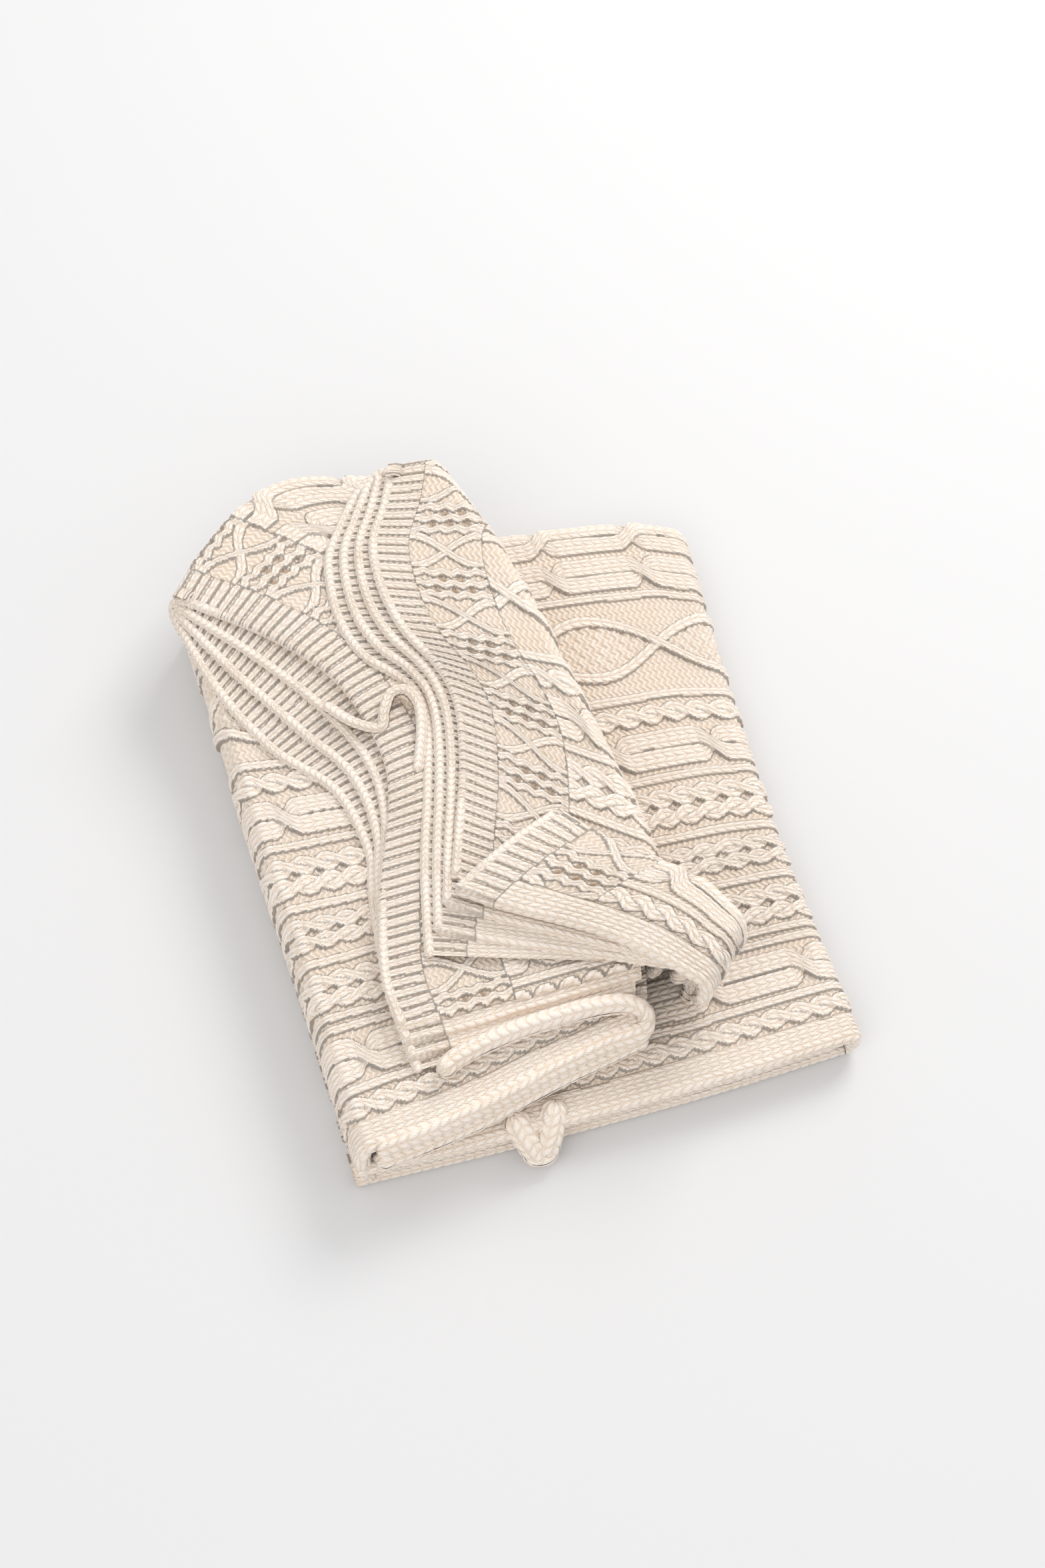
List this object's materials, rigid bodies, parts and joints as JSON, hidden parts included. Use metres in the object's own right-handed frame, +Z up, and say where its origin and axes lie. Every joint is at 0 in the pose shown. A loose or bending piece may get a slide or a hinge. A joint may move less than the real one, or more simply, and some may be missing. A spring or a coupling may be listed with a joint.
{
  "type": "throw blanket",
  "caption": "Chunky cable-knit throw folded into a block: eight-ply base, leaf turned back over it, ribbed ends laid back on top, side hems at the front and one corner turned up.",
  "frame": {"origin": "on the surface it lies on, under the middle of the whole pile", "axes": "+X along the columns of stitches, from the left fold to the right fold; +Y across them, from the hems to the turned folds; +Z up"},
  "size_m": [0.3804, 0.5262, 0.1118],
  "materials": {
    "cable_knit": "matte cream cotton, cable-knit, slightly fuzzy",
    "rib_knit": "matte cream cotton, ribbed border",
    "hem_knit": "matte cream cotton, plain knit hem rolled on itself"
  },
  "bodies": {
    "base": {"base_plies_1": "cable_knit", "base_plies_2": "cable_knit", "base_plies_3": "cable_knit", "base_plies_4": "cable_knit", "base_hem_upper": "hem_knit", "base_hem_lower": "hem_knit", "hem_tuck": "hem_knit", "right_fold": "cable_knit", "left_fold_lower": "cable_knit"},
    "leaf": {"leaf_plies_1": "cable_knit", "leaf_plies_2": "cable_knit", "leaf_plies_3": "cable_knit", "leaf_plies_4": "cable_knit", "leaf_hem_upper": "hem_knit", "leaf_hem_lower": "hem_knit", "left_fold_upper": "cable_knit"},
    "inner_end": {"inner_end_ply_1": "cable_knit", "inner_end_ply_2": "cable_knit", "inner_end_ply_3": "cable_knit", "inner_end_ply_4": "cable_knit", "inner_end_rib_1": "rib_knit", "inner_end_rib_2": "rib_knit", "inner_end_rib_3": "rib_knit", "inner_end_rib_4": "rib_knit", "inner_end_hem": "hem_knit", "inner_end_middle_fold": "cable_knit"},
    "outer_end": {"outer_end_ply_1": "cable_knit", "outer_end_ply_2": "cable_knit", "outer_end_ply_3": "cable_knit", "outer_end_ply_4": "cable_knit", "outer_end_rib_1": "rib_knit", "outer_end_rib_2": "rib_knit", "outer_end_rib_3": "rib_knit", "outer_end_rib_4": "rib_knit", "outer_end_hem": "hem_knit", "outer_end_middle_fold": "cable_knit"},
    "flap": {"corner_flap": "cable_knit", "flap_rib": "rib_knit", "flap_hem": "hem_knit"}
  },
  "joints": [
    {"name": "leaf_fold", "type": "hinge", "parent": "base", "child": "leaf", "pos_m": [-0.1907, 0, 0.03345], "axis": [0, -1, 0], "range_deg": [0, 90]},
    {"name": "outer_fold", "type": "hinge", "parent": "leaf", "child": "outer_end", "pos_m": [0.0676, 0.033, 0.06705], "axis": [-0.1411, 0.99, 0], "range_deg": [0, 70]},
    {"name": "inner_fold", "type": "hinge", "parent": "leaf", "child": "inner_end", "pos_m": [0.0676, 0.033, 0.06705], "axis": [-0.1411, 0.99, 0], "range_deg": [0, 35]},
    {"name": "corner_fold", "type": "hinge", "parent": "outer_end", "child": "flap", "pos_m": [0.0857, -0.1419, 0.10065], "axis": [-0.6264, 0.7795, 0], "range_deg": [0, 60]}
  ],
  "couplings": [
    {"joint": "inner_fold", "follows": "outer_fold", "ratio": 0.5}
  ]
}
